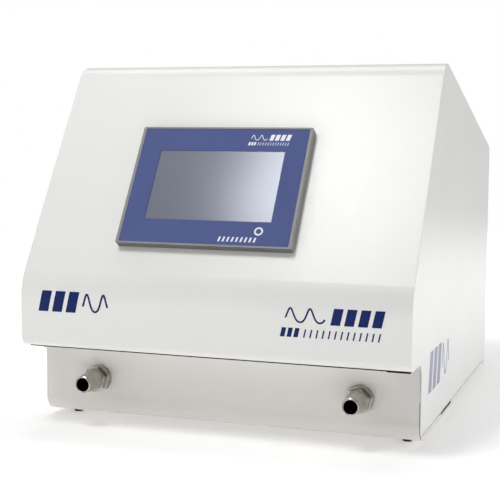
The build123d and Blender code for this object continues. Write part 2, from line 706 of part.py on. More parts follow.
spring_low_z = relief_seat_z + poppet_thickness + 1
spring_length = relief_cap_z - spring_low_z - 0.9
spring_radius, spring_wire, spring_turns = 6.5, 0.7, 5
with BuildPart() as relief_valve_spring:
    with BuildLine(Plane.XY.offset(spring_low_z)):
        coil_line = Helix(spring_length / spring_turns, spring_length, spring_radius,
                          center=(tee_mid[0], tee_mid[1], spring_low_z))
    with BuildSketch(Plane(coil_line @ 0, z_dir=coil_line % 0)):
        Circle(spring_wire)
    sweep(is_frenet=True)
relief_valve_spring.part.label = "relief_valve_spring"
export_step(relief_valve_spring.part, "parts/relief_valve_spring.step")

# Exhalation valve: a coil presses the plunger on a diaphragm over the expiratory passage.
exhale_size = 48.0
exhale_x = port_xs[1]
exhale_top_z = port_z + 26
diaphragm_thickness = 1.2
exhale_travel = 2.5
with BuildPart() as exhalation_valve_body:
    with Locations(Location((exhale_x, exhale_valve_y, port_z + 1))):
        Box(exhale_size, exhale_size, 50)
    fillet(exhalation_valve_body.edges().filter_by(Axis.Z), radius=5)
    with Locations(Location((exhale_x, exhale_valve_y + 8, floor_z))):
        Cylinder(13, port_z - 24 - floor_z + 1, align=upward)
    with Locations(Location((exhale_x, exhale_valve_y - 12, port_z), (90, 0, 0))):
        Cylinder(gas_bore, exhale_size - 20, mode=Mode.SUBTRACT)
    with Locations(Location((exhale_x, exhale_valve_y - 6, port_z))):
        Cylinder(7.5, 30, align=upward, mode=Mode.SUBTRACT)
    with Locations(Location((exhale_x, exhale_valve_y, exhale_top_z - 3))):
        Cylinder(19, 4, align=upward, mode=Mode.SUBTRACT)
    with Locations(Location((exhale_x, exhale_valve_y + 8, floor_z - 1))):
        Cylinder(exhaust_radius - 1, 22, align=upward, mode=Mode.SUBTRACT)
    with Locations(Location((exhale_x, exhale_valve_y + 13, floor_z + 10))):
        Cylinder(3.5, 90, align=upward, mode=Mode.SUBTRACT)
exhalation_valve_body.part.label = "exhalation_valve_body"
export_step(exhalation_valve_body.part, "parts/exhalation_valve_body.step")

with BuildPart() as exhalation_diaphragm:
    with Locations(Location((exhale_x, exhale_valve_y, exhale_top_z))):
        Cylinder(22, diaphragm_thickness, align=upward)
exhalation_diaphragm.part.label = "exhalation_diaphragm"
export_step(exhalation_diaphragm.part, "parts/exhalation_diaphragm.step")

exhale_coil_z = exhale_top_z + diaphragm_thickness
with BuildPart() as exhalation_coil:
    with Locations(Location((exhale_x, exhale_valve_y, exhale_coil_z))):
        Cylinder(22, 8, align=upward)
        Cylinder(18, 40, align=upward)
        Cylinder(12, 8, align=upward, mode=Mode.SUBTRACT)
        Cylinder(4.05, 50, align=upward, mode=Mode.SUBTRACT)
exhalation_coil.part.label = "exhalation_coil"
export_step(exhalation_coil.part, "parts/exhalation_coil.step")

with BuildPart() as exhalation_plunger:
    with Locations(Location((exhale_x, exhale_valve_y, exhale_coil_z + 0.3))):
        Cylinder(10, 3, align=upward)
        Cylinder(4, 34, align=upward)
exhalation_plunger.part.label = "exhalation_plunger"
export_step(exhalation_plunger.part, "parts/exhalation_plunger.step")

# Hard tubing between inlets, regulators, manifold and chamber.
tube_radius = 4.8
with BuildPart() as gas_tubes:
    for x in inlet_xs:
        with BuildSketch(wall(inlet_inner_end)):
            with Locations((x, inlet_z)):
                Circle(tube_radius)
        extrude(amount=inlet_inner_end - filter_back_y)
        with BuildSketch(wall(manifold_y[0])):
            with Locations((x, manifold_port_z)):
                Circle(tube_radius)
        extrude(amount=manifold_y[0] - chamber_y[1])
        mid_y = (filter_back_y - filter_size + manifold_y[1]) / 2
        with BuildLine():
            FilletPolyline((x, filter_back_y - filter_size, inlet_z), (x, mid_y, inlet_z),
                           (x, mid_y, manifold_port_z), (x, manifold_y[1], manifold_port_z), radius=14)
        with BuildSketch(wall(filter_back_y - filter_size)):
            with Locations((x, inlet_z)):
                Circle(tube_radius)
        sweep()
gas_tubes.part.label = "gas_tubes"
export_step(gas_tubes.part, "parts/gas_tubes.step")

# ================================================================== electrics
# Mains entry: socket, fuse drawer and rocker switch in one moulding.
entry_flange = (64.0, 54.0)
entry_face_y = rear_face_y + 3
entry_depth = 30.0
socket_x, socket_z = entry_x - 13.5, entry_z + 7
socket_size = (24.6, 16.8)
drawer_size = (26.0, 9.0)
drawer_z = entry_z - 14
drawer_length = 22.0
drawer_travel = 18.0
rocker_x = entry_x + 17
rocker_size = (13.6, 22.0)
rocker_pivot_y = entry_face_y - 5
rocker_tilt = 7.0

with BuildPart() as power_inlet:
    with BuildSketch(wall(entry_face_y)):
        with Locations((entry_x, entry_z)):
            RectangleRounded(*entry_flange, 4)
    extrude(amount=entry_face_y - rear_face_y)
    with BuildSketch(wall(rear_face_y)):
        with Locations((entry_x, entry_z)):
            Rectangle(*entry_body)
    extrude(amount=entry_depth)
    with BuildSketch(wall(entry_face_y + 1)):
        with Locations((socket_x, socket_z)):
            Rectangle(*socket_size)
        chamfer(vertices().group_by(Axis.Y)[-1], length=4)
    extrude(amount=18, mode=Mode.SUBTRACT)
    with BuildSketch(wall(entry_face_y + 1)):
        with Locations((socket_x, drawer_z)):
            Rectangle(drawer_size[0] + 0.6, drawer_size[1] + 0.6)
    extrude(amount=drawer_length + 3, mode=Mode.SUBTRACT)
    with BuildSketch(wall(entry_face_y + 1)):
        with Locations((rocker_x, entry_z)):
            Rectangle(rocker_size[0] + 0.8, rocker_size[1] + 2.6)
    extrude(amount=16, mode=Mode.SUBTRACT)
    with Locations(Location((rocker_x, rocker_pivot_y, entry_z), (0, 90, 0))):
        Cylinder(1.05, rocker_size[0] + 4, mode=Mode.SUBTRACT)
    # Three blades in the socket, earth in the middle.
    with BuildSketch(wall(entry_face_y - 4)):
        with Locations((socket_x - 7, socket_z - 2), (socket_x, socket_z + 2), (socket_x + 7, socket_z - 2)):
            Rectangle(2, 4)
    extrude(amount=14)
power_inlet.part.label = "power_inlet"
export_step(power_inlet.part, "parts/power_inlet.step")

with BuildPart() as fuse_drawer:
    with BuildSketch(wall(entry_face_y)):
        with Locations((socket_x, drawer_z)):
            Rectangle(*drawer_size)
    extrude(amount=drawer_length)
    with BuildSketch(wall(entry_face_y + 1.6)):
        with Locations((socket_x, drawer_z)):
            RectangleRounded(drawer_size[0] - 8, 4, 1)
    extrude(amount=1.6)
    with BuildSketch(Plane.XY.offset(drawer_z + 5)):
        with Locations((socket_x, entry_face_y - 12)):
            Rectangle(20.4, 5.6)
    extrude(amount=-7, mode=Mode.SUBTRACT)
fuse_drawer.part.label = "fuse_drawer"
export_step(fuse_drawer.part, "parts/fuse_drawer.step")

with BuildPart() as power_switch:
    half = rocker_size[1] / 2
    with BuildSketch(Plane.YZ.offset(rocker_x - rocker_size[0] / 2)):
        with BuildLine():
            Polyline((-4, -half + 2), (3.4, -half), (4.6, 0), (3.4, half), (-4, half - 2), close=True)
        make_face()
    extrude(amount=rocker_size[0])
    with Locations(Location((rocker_x, 0, 0), (0, 90, 0))):
        Cylinder(1.0, rocker_size[0] + 3.6)
rocker_pose = Location((0, rocker_pivot_y, entry_z), (rocker_tilt, 0, 0))
power_switch.part = power_switch.part.moved(rocker_pose)
power_switch.part.label = "power_switch"
export_step(power_switch.part, "parts/power_switch.step")

with BuildPart() as earth_stud:
    with BuildSketch(wall(rear_face_y + 16)):
        with Locations((earth_x, earth_z)):
            Circle(3)
    extrude(amount=32)
    with BuildSketch(wall(rear_face_y + 5)):
        with Locations((earth_x, earth_z)):
            RegularPolygon(5, 6, major_radius=False)
    extrude(amount=5)
    with BuildSketch(wall(rear_face_y - sheet)):
        with Locations((earth_x, earth_z)):
            RegularPolygon(5, 6, major_radius=False)
    extrude(amount=5)
    chamfer(earth_stud.faces().filter_by(Axis.Y).sort_by(Axis.Y)[-1].edges(), length=0.6)
earth_stud.part.label = "earth_stud"
export_step(earth_stud.part, "parts/earth_stud.step")

# Cooling fan on the inside of the rear panel, with a wire guard outside.
fan_back_y = rear_face_y - sheet
hub_radius, blade_tip = 18.0, 35.5
fan_shaft = 1.5
with BuildPart() as fan_frame:
    with BuildSketch(wall(fan_back_y)):
        with Locations((fan_x, fan_z)):
            RectangleRounded(fan_size, fan_size, 6)
            Circle(fan_bore, mode=Mode.SUBTRACT)
        with Locations(fan_screw_places):
            Circle(2.1, mode=Mode.SUBTRACT)
    extrude(amount=fan_depth)
    # Motor seat on four spokes at the inner face.
    with BuildSketch(wall(fan_back_y - fan_depth + 3)):
        with Locations((fan_x, fan_z)):
            Circle(hub_radius)
            for angle in (45, 135):
                Rectangle(2 * fan_bore + 2, 5, rotation=angle)
    extrude(amount=3)
    with BuildSketch(wall(fan_back_y - fan_depth + 8)):
        with Locations((fan_x, fan_z)):
            Circle(9)
    extrude(amount=8)
    with BuildSketch(wall(fan_back_y)):
        with Locations((fan_x, fan_z)):
            Circle(fan_shaft + 0.05)
    extrude(amount=fan_depth + 5, mode=Mode.SUBTRACT)
fan_frame.part.label = "fan_frame"
export_step(fan_frame.part, "parts/fan_frame.step")

with BuildPart() as fan_rotor:
    with BuildSketch(wall(fan_back_y - 2)):
        with Locations((fan_x, fan_z)):
            Circle(hub_radius - 0.5)
    extrude(amount=fan_depth - 6)
    with BuildSketch(wall(fan_back_y - 5)):
        with Locations((fan_x, fan_z)):
            Circle(hub_radius - 3)
    extrude(amount=fan_depth, mode=Mode.SUBTRACT)
    with BuildSketch(wall(fan_back_y - 2)):
        with Locations((fan_x, fan_z)):
            Circle(fan_shaft)
    extrude(amount=fan_depth - 4)
    blade_radial = blade_tip - hub_radius + 2
    for blade in range(7):
        turn = Location((fan_x, fan_back_y - 11.5, fan_z), (0, blade * 360 / 7, 0))
        with Locations(turn * Location((blade_tip - blade_radial / 2, 0, 0), (38, 0, 0))):
            Box(blade_radial, 1.6, 20)
fan_rotor.part.label = "fan_rotor"
export_step(fan_rotor.part, "parts/fan_rotor.step")

with BuildPart() as fan_guard:
    guard_y = rear_face_y + 2.4
    with BuildSketch(wall(rear_face_y + 1.6)):
        with Locations(fan_screw_places):
            Circle(4)
    extrude(amount=1.6)
    for ring_radius in (9, 18, 27, 36):
        with Locations(Location((fan_x, guard_y, fan_z), (90, 0, 0))):
            Torus(ring_radius, 0.8)
    for angle in (45, 135):
        with Locations(Location((fan_x, rear_face_y + 1.0, fan_z), (0, angle, 0))
                       * Location((0, 0, 0), (0, 90, 0))):
            Cylinder(0.9, 2 * 1.414 * fan_screw)
    with BuildSketch(wall(rear_face_y + 3.6)):
        with Locations(fan_screw_places):
            Circle(3.4)
    extrude(amount=2)
    with BuildSketch(wall(rear_face_y + 1)):
        with Locations(fan_screw_places):
            Circle(2.0)
    extrude(amount=fan_depth)
fan_guard.part.label = "fan_guard"
export_step(fan_guard.part, "parts/fan_guard.step")

# Power supply and battery on the floor.
supply_centre = (140.0, rear_y - 156, floor_z + 22)
supply_size = (110.0, 160.0, 44.0)
with BuildPart() as power_supply:
    with Locations(Location(supply_centre)):
        Box(*supply_size)
    fillet(power_supply.edges().filter_by(Axis.Y), radius=1.5)
    with BuildSketch(Plane.XY.offset(floor_z + supply_size[2] + 1)):
        with Locations((supply_centre[0], supply_centre[1] - 15)):
            with GridLocations(12, 12, 7, 8):
                Circle(2.5)
    extrude(amount=-3, mode=Mode.SUBTRACT)
    with Locations(Location((supply_centre[0], supply_centre[1] + 76, floor_z + 34))):
        Box(92, 14, 26, mode=Mode.SUBTRACT)
power_supply.part.label = "power_supply"
export_step(power_supply.part, "parts/power_supply.step")

battery_centre = (8.0, rear_y - 150, floor_z + 47)
with BuildPart() as battery:
    with Locations(Location(battery_centre)):
        Box(65, 150, 94)
    fillet(battery.edges().filter_by(Axis.Z), radius=2)
    with Locations(Location((battery_centre[0] - 18, battery_centre[1] + 62, floor_z + 94)),
                   Location((battery_centre[0] + 18, battery_centre[1] + 62, floor_z + 94))):
        Box(6, 10, 12)
battery.part.label = "battery"
export_step(battery.part, "parts/battery.step")

# Controller on a DIN rail, control board and buzzer, all on the raised plate.
deck_z = plate_z + sheet
rail_y = plate_front_y + 110
with BuildPart() as din_rail:
    with BuildSketch(Plane.YZ.offset(-190)):
        with BuildLine():
            Polyline((rail_y - 17.5, deck_z + 7.5), (rail_y - 11.5, deck_z + 7.5),
                     (rail_y - 11.5, deck_z + 1), (rail_y + 11.5, deck_z + 1), (rail_y + 11.5, deck_z + 7.5),
                     (rail_y + 17.5, deck_z + 7.5), (rail_y + 17.5, deck_z + 6.5), (rail_y + 12.5, deck_z + 6.5),
                     (rail_y + 12.5, deck_z), (rail_y - 12.5, deck_z), (rail_y - 12.5, deck_z + 6.5),
                     (rail_y - 17.5, deck_z + 6.5), close=True)
        make_face()
    extrude(amount=330)
din_rail.part.label = "din_rail"
export_step(din_rail.part, "parts/din_rail.step")

with BuildPart() as controller:
    with Locations(Location((-110, rail_y, deck_z + 8 + 30))):
        Box(130, 90, 60)
    fillet(controller.edges().filter_by(Axis.Z), radius=2)
    for terminal_y in (rail_y - 39, rail_y + 39):
        with Locations(Location((-110, terminal_y, deck_z + 62))):
            Box(118, 10, 14, mode=Mode.SUBTRACT)
controller.part.label = "controller"
export_step(controller.part, "parts/controller.step")

with BuildPart() as terminal_blocks:
    for index in range(14):
        with Locations(Location((-20 + 6.4 * index, rail_y, deck_z + 8 + 20))):
            Box(6.0, 48, 40)
        with Locations(Location((-20 + 6.4 * index, rail_y - 22, deck_z + 46)),
                       Location((-20 + 6.4 * index, rail_y + 22, deck_z + 46))):
            Box(8, 10, 12, mode=Mode.SUBTRACT)
terminal_blocks.part.label = "terminal_blocks"
export_step(terminal_blocks.part, "parts/terminal_blocks.step")

board_centre = (40.0, rail_y + 82, deck_z + 8)
with BuildPart() as control_board:
    with Locations(Location(board_centre)):
        Box(160, 80, 1.6)
    for i in (-1, 1):
        for j in (-1, 1):
            with Locations(Location((board_centre[0] + i * 74, board_centre[1] + j * 34, deck_z))):
                Cylinder(3, 8, align=upward)
    with Locations(Location((board_centre[0] - 30, board_centre[1], board_centre[2] + 2.5))):
        Box(24, 24, 4)
    with Locations(Location((board_centre[0] + 45, board_centre[1] - 30, board_centre[2] + 6))):
        Box(50, 12, 11)
    for i in range(3):
        with Locations(Location((board_centre[0] + 20 + 16 * i, board_centre[1] + 18, board_centre[2]))):
            Cylinder(5, 16, align=upward)
control_board.part.label = "control_board"
export_step(control_board.part, "parts/control_board.step")

with BuildPart() as alarm_buzzer:
    with Locations(Location((170, rail_y, deck_z))):
        Cylinder(15, 18, align=upward)
        Cylinder(4, 20, align=upward, mode=Mode.SUBTRACT)
alarm_buzzer.part.label = "alarm_buzzer"
export_step(alarm_buzzer.part, "parts/alarm_buzzer.step")
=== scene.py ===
"""Looks of the desktop ventilator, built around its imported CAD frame. Metres, +X right, +Y back, +Z up."""
import json
import math
import bpy
import bmesh
from mathutils import Matrix, Vector


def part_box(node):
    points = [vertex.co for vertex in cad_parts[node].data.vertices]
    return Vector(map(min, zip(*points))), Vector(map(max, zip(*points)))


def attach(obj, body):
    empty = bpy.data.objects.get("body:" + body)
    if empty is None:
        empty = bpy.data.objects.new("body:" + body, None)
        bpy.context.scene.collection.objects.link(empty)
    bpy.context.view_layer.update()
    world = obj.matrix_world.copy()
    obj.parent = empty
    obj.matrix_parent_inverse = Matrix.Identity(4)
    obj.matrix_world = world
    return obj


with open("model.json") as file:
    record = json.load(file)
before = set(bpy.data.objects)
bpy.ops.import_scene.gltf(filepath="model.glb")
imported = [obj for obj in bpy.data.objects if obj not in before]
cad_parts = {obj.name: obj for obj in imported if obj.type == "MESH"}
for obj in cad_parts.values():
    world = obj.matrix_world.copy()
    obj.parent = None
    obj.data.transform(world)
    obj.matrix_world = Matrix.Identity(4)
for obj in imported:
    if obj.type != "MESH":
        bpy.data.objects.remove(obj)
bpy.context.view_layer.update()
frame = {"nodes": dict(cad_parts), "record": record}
nodes = frame["nodes"]
MM = 0.001


# ------------------------------------------------------------------ places read from the frame
shell_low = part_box("hood_shell")[0]
side_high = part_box("hood_side_right")[1]
tray_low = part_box("chassis_tray")[0]
lip_y = shell_low[1]                       # front face of the overhanging lip
lip_bottom = shell_low[2]
tray_front, tray_bottom = tray_low[1], tray_low[2]
side_x = side_high[0]

# The hood's folded profile, from its own bends.
LIP_HEIGHT = 75.3 * MM                     # lip from its lower edge to where it would meet the slope
SLOPE_RUN = 165.7 * MM
SLOPE_RISE = 258.3 * MM
LIP_BEND = 60.0 * MM
slope_lean = math.atan2(SLOPE_RUN, SLOPE_RISE)
slope_normal = Vector((0, -math.cos(slope_lean), math.sin(slope_lean)))
slope_up = Vector((0, math.sin(slope_lean), math.cos(slope_lean)))
slope_foot = Vector((0, lip_y, lip_bottom + LIP_HEIGHT))


# ------------------------------------------------------------------ material building blocks
NOISE_LOW, NOISE_HIGH = 0.3, 0.7           # where a noise value usually lies
MIX_SHARE, MIX_FIRST, MIX_SECOND, MIX_RESULT = 0, 6, 7, 2  # a colour Mix node's sockets, which share names


def new_material(name):
    """A material with a fresh Principled shader; returns it with its node tree and shader."""
    material = bpy.data.materials.new(name)
    material.use_nodes = True
    tree = material.node_tree
    return material, tree, tree.nodes["Principled BSDF"]


def set_uniform(shader, **values):
    for socket, value in values.items():
        shader.inputs[socket.replace("_", " ")].default_value = value


def noise(tree, scale, detail=2.0):
    """Noise over the object's own coordinates, in cycles per metre; returns its value socket."""
    coords = tree.nodes.new("ShaderNodeTexCoord")
    texture = tree.nodes.new("ShaderNodeTexNoise")
    texture.inputs["Scale"].default_value = scale
    texture.inputs["Detail"].default_value = detail
    tree.links.new(coords.outputs["Object"], texture.inputs["Vector"])
    return texture.outputs["Fac"]


def spread(tree, value, low, high, start=NOISE_LOW, end=NOISE_HIGH):
    """Maps a value between start and end onto low to high."""
    remap = tree.nodes.new("ShaderNodeMapRange")
    remap.inputs["From Min"].default_value = start
    remap.inputs["From Max"].default_value = end
    remap.inputs["To Min"].default_value = low
    remap.inputs["To Max"].default_value = high
    tree.links.new(value, remap.inputs["Value"])
    return remap.outputs["Result"]


def two_tone(tree, value, dark, light):
    """Blends two colours by a noise value; returns the colour socket."""
    ramp = tree.nodes.new("ShaderNodeValToRGB")
    ramp.color_ramp.elements[0].position = NOISE_LOW
    ramp.color_ramp.elements[0].color = (*dark, 1)
    ramp.color_ramp.elements[1].position = NOISE_HIGH
    ramp.color_ramp.elements[1].color = (*light, 1)
    tree.links.new(value, ramp.inputs["Fac"])
    return ramp.outputs["Color"]


def bump(tree, shader, height, distance):
    node = tree.nodes.new("ShaderNodeBump")
    node.inputs["Strength"].default_value = 1.0
    node.inputs["Distance"].default_value = distance
    tree.links.new(height, node.inputs["Height"])
    tree.links.new(node.outputs["Normal"], shader.inputs["Normal"])


def speckled(name, dark, light, grain, roughness, bump_height, tone_scale=40, **uniform):
    """The common recipe: two close tones, a roughness that wanders, and a fine surface grain."""
    material, tree, shader = new_material(name)
    tone = two_tone(tree, noise(tree, tone_scale, 3), dark, light)
    tree.links.new(tone, shader.inputs["Base Color"])
    tree.links.new(spread(tree, noise(tree, grain / 3), *roughness), shader.inputs["Roughness"])
    bump(tree, shader, noise(tree, grain, 3), bump_height)
    set_uniform(shader, **uniform)
    return material


def bezel_material():
    """Grey moulding whose downward-facing lower edge is painted darker than the rest: painted shade."""
    material, tree, shader = new_material("bezel_plastic")
    speckle = noise(tree, 40, 3)
    front = two_tone(tree, speckle, (0.262, 0.260, 0.262), (0.288, 0.286, 0.288))
    # Painted shade: the lower wall, whose normal points down the slope, gets a darker tone as if it lay in
    # shadow.
    shaded_lower_edge = two_tone(tree, speckle, (0.115, 0.114, 0.114), (0.135, 0.134, 0.134))
    geometry = tree.nodes.new("ShaderNodeNewGeometry")
    facing = tree.nodes.new("ShaderNodeVectorMath")
    facing.operation = "DOT_PRODUCT"
    facing.inputs[1].default_value = -slope_up
    tree.links.new(geometry.outputs["Normal"], facing.inputs[0])
    blend = tree.nodes.new("ShaderNodeMix")
    blend.data_type = "RGBA"
    downward_shade_share = spread(tree, facing.outputs["Value"], 0, 1, start=0.5, end=0.9)
    tree.links.new(downward_shade_share, blend.inputs[MIX_SHARE])
    tree.links.new(front, blend.inputs[MIX_FIRST])
    tree.links.new(shaded_lower_edge, blend.inputs[MIX_SECOND])
    tree.links.new(blend.outputs[MIX_RESULT], shader.inputs["Base Color"])
    tree.links.new(spread(tree, noise(tree, 700), 0.40, 0.50), shader.inputs["Roughness"])
    bump(tree, shader, noise(tree, 2200, 3), 0.00005)
    set_uniform(shader, Specular_IOR_Level=0.35)
    return material


# ------------------------------------------------------------------ materials, one per slot
def make_materials():
    found = {}

    def add(name, *recipe, **uniform):
        found[name] = speckled(name, *recipe, **uniform)

    add("case_paint", (0.865, 0.865, 0.842), (0.885, 0.885, 0.864), 700, (0.30, 0.36), 0.00004,
        tone_scale=9, Specular_IOR_Level=0.5)
    found["bezel_plastic"] = bezel_material()
    add("overlay_film", (0.090, 0.118, 0.292), (0.098, 0.127, 0.310), 3500, (0.60, 0.66), 0.00001,
        tone_scale=15, Specular_IOR_Level=0.10)
    add("screen_glass", (0.134, 0.144, 0.192), (0.144, 0.154, 0.204), 5000, (0.17, 0.19), 0.000002,
        tone_scale=6, Specular_IOR_Level=0.62, Specular_Tint=(0.86, 0.91, 1.0, 1.0))
    add("rubber", (0.020, 0.020, 0.021), (0.032, 0.032, 0.033), 1500, (0.7, 0.85), 0.0001)
    add("black_plastic", (0.022, 0.022, 0.024), (0.030, 0.030, 0.032), 2000, (0.38, 0.50), 0.00004)
    add("dark_plastic", (0.075, 0.078, 0.082), (0.095, 0.098, 0.102), 2000, (0.42, 0.55), 0.00004)
    add("light_plastic", (0.55, 0.56, 0.56), (0.60, 0.61, 0.61), 2000, (0.38, 0.48), 0.00003)
    add("plated_brass", (0.40, 0.378, 0.34), (0.50, 0.48, 0.44), 900, (0.27, 0.37), 0.00002,
        tone_scale=120, Metallic=1.0)
    add("zinc_steel", (0.52, 0.53, 0.55), (0.62, 0.63, 0.64), 700, (0.28, 0.42), 0.00002, tone_scale=60,
        Metallic=1.0)
    add("aluminium", (0.58, 0.59, 0.60), (0.66, 0.67, 0.68), 800, (0.34, 0.46), 0.00002, tone_scale=50,
        Metallic=1.0)
    add("brass", (0.58, 0.42, 0.19), (0.68, 0.51, 0.25), 700, (0.22, 0.34), 0.00002, tone_scale=90,
        Metallic=1.0)
    add("clear_plastic", (0.42, 0.48, 0.52), (0.48, 0.54, 0.58), 500, (0.08, 0.14), 0.00002,
        Transmission_Weight=0.7)
    add("silicone", (0.62, 0.61, 0.58), (0.70, 0.69, 0.66), 900, (0.45, 0.6), 0.00004)
    add("circuit_board", (0.010, 0.085, 0.035), (0.020, 0.14, 0.055), 600, (0.25, 0.40), 0.00003,
        tone_scale=220)
    add("blue_tube", (0.020, 0.070, 0.26), (0.030, 0.090, 0.31), 600, (0.25, 0.35), 0.00002)
    add("battery_case", (0.030, 0.033, 0.040), (0.040, 0.044, 0.052), 1500, (0.40, 0.55), 0.00004)
    return found


materials = make_materials()
navy_ink = speckled("navy_ink", (0.010, 0.022, 0.120), (0.013, 0.027, 0.135), 2500, (0.5, 0.6), 0.00001,
                    Specular_IOR_Level=0.12)
pale_ink = speckled("pale_ink", (0.36, 0.36, 0.50), (0.39, 0.39, 0.53), 2500, (0.5, 0.6), 0.00001)
white_ink = speckled("white_ink", (0.78, 0.80, 0.88), (0.82, 0.84, 0.90), 2500, (0.34, 0.42), 0.00001)
# Painted shade: near-black finish for the liners in the port bores, standing in for the shade deep inside
# them.
bore_painted_shade = speckled("bore_painted_shade", (0.0015, 0.0015, 0.0015), (0.0025, 0.0025, 0.0025), 1500, (0.85, 0.95),
                      0.00003, Specular_IOR_Level=0.05)
# Painted shadow: near-black finish for the strip under the lip's lower edge, standing in for the shadow gap
# there.
lip_gap_shade = speckled("lip_gap_shade", (0.006, 0.006, 0.005), (0.010, 0.010, 0.009), 1500, (0.7, 0.85), 0.0001,
                      Specular_IOR_Level=0.2)
tray_paint = speckled("tray_paint", (0.862, 0.836, 0.800), (0.880, 0.856, 0.822), 700, (0.30, 0.36), 0.00004,
                      tone_scale=9, Specular_IOR_Level=0.5)

for part in frame["record"]["subparts"]:
    obj = nodes[part["node"]]
    obj.data.materials.clear()
    obj.data.materials.append(materials[part["material_slot"]])
nodes["chassis_tray"].data.materials[0] = tray_paint


# ------------------------------------------------------------------ added pieces
MARK_LIFT = 0.12 * MM                      # how far a printed mark stands off the surface
MARK_SINK = 0.02 * MM                      # how far its edges go into it


def front_skin(x, height, lift):
    """Point on the hood's front, at a height measured from the floor and on along the folded sheet."""
    bend_start = slope_foot.z - LIP_BEND * math.tan(slope_lean / 2)
    turn = min(max((height - bend_start) / LIP_BEND, 0), slope_lean)
    beyond = max(height - bend_start - slope_lean * LIP_BEND, 0)
    radius = LIP_BEND + lift
    y = lip_y + LIP_BEND - radius * math.cos(turn) + beyond * math.sin(slope_lean)
    z = min(height, bend_start) + radius * math.sin(turn) + beyond * math.cos(slope_lean)
    return Vector((x, y, z))


def side_skin(y, z, lift):
    """Point on the outside of the right side panel."""
    return Vector((side_x + lift, y, z))


def panel_skin(x, up, lift):
    """Point on the touch panel's front film, from the panel's centre."""
    return panel_origin + Vector((x, 0, 0)) + slope_up * up + slope_normal * lift


film_low, film_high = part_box("panel_overlay")
film_normal_reach = max((nodes["panel_overlay"].matrix_world @ v.co).dot(slope_normal)
                        for v in nodes["panel_overlay"].data.vertices)
film_centre = (Vector(film_low) + Vector(film_high)) / 2
panel_origin = film_centre + slope_normal * (film_normal_reach - film_centre.dot(slope_normal))


def new_piece(name, mesh_maker, material):
    """Builds a mesh piece with mesh_maker(bm), gives it its finish and lets it ride on the case."""
    bm = bmesh.new()
    mesh_maker(bm)
    bmesh.ops.recalc_face_normals(bm, faces=bm.faces)
    mesh = bpy.data.meshes.new(name)
    bm.to_mesh(mesh)
    bm.free()
    mesh.materials.append(material)
    piece = bpy.data.objects.new(name, mesh)
    bpy.context.scene.collection.objects.link(piece)
    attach(piece, "case")


def skin(bm, rings):
    """Joins rings of as many vertices each into one surface."""
    for near, far in zip(rings[:-1], rings[1:]):
        for i in range(len(near)):
            j = (i + 1) % len(near)
            bm.faces.new((near[i], near[j], far[j], far[i]))


def cap_ends(bm, rings):
    bm.faces.new(rings[0])
    bm.faces.new(rings[-1][::-1])


def raised_strip(bm, place, first_edge, second_edge, closed=False):
    """A thin raised shape between two edges, each a list of points in the surface's own coordinates."""
    rows = []
    for a, b in zip(first_edge, second_edge):
        rows.append([bm.verts.new(place(*a, -MARK_SINK)), bm.verts.new(place(*a, MARK_LIFT)),
                     bm.verts.new(place(*b, MARK_LIFT)), bm.verts.new(place(*b, -MARK_SINK))])
    if closed:
        skin(bm, rows + [rows[0]])
    else:
        skin(bm, rows)
        cap_ends(bm, rows)


def slanted_bar(bm, place, left, bottom, width, height, lean=0.22, steps=6):
    levels = [i / steps for i in range(steps + 1)]
    shift = [left + lean * height * t for t in levels]
    rise = [bottom + height * t for t in levels]
    raised_strip(bm, place, list(zip(shift, rise)), [(x + width, z) for x, z in zip(shift, rise)])


def stroke(bm, place, path, width, closed=False):
    """A line of one width along a path."""
    first, second = [], []
    count = len(path)
    for i, (u, v) in enumerate(path):
        before = path[i - 1] if i or closed else path[0]
        after = path[(i + 1) % count] if i < count - 1 or closed else path[-1]
        along = Vector((after[0] - before[0], after[1] - before[1])).normalized() * (width / 2)
        first.append((u - along.y, v + along.x))
        second.append((u + along.y, v - along.x))
    raised_strip(bm, place, first, second, closed)


def breath_wave(left, middle, width, height, periods, steps=48):
    """A breathing curve: a rounded rise, then a slower fall."""
    path = []
    for i in range(steps + 1):
        t = i / steps
        phase = 2 * math.pi * periods * t
        path.append((left + width * t, middle + height / 2 * math.sin(phase - 0.45 * math.cos(phase))))
    return path


def ring(centre_u, centre_v, radius, steps=36):
    turns = [2 * math.pi * i / steps for i in range(steps)]
    return [(centre_u + radius * math.cos(a), centre_v + radius * math.sin(a)) for a in turns]


def bold_and_wave(bm, place, left, bottom, size, tall):
    """Three heavy slanted bars followed by a thin breathing curve; size 1 is 88 mm wide."""
    for i in range(3):
        slanted_bar(bm, place, left + i * 17.5 * MM * size, bottom, 12.5 * MM * size, tall)
    wave = breath_wave(left + 57 * MM * size, bottom + tall / 2, 31 * MM * size, tall * 0.82, 1.5)
    stroke(bm, place, wave, 2.3 * MM * size)


def wave_and_bold(bm, place, left, bottom, size):
    """A thin curve and heavy bars over a row of short ticks; size 1 is about 115 mm by 33 mm."""
    top = bottom + 15 * MM * size
    wave = breath_wave(left + 6 * MM * size, top + 9 * MM * size, 44 * MM * size, 15 * MM * size, 2)
    stroke(bm, place, wave, 1.9 * MM * size)
    for i in range(4):
        slanted_bar(bm, place, left + (56 + 15 * i) * MM * size, top, 10.5 * MM * size, 18 * MM * size)
    for i in range(3):
        slanted_bar(bm, place, left + 7.5 * i * MM * size, bottom, 5 * MM * size, 10 * MM * size)
    for i in range(13):
        slanted_bar(bm, place, left + (26 + 6.8 * i) * MM * size, bottom, 1.6 * MM * size, 9 * MM * size)


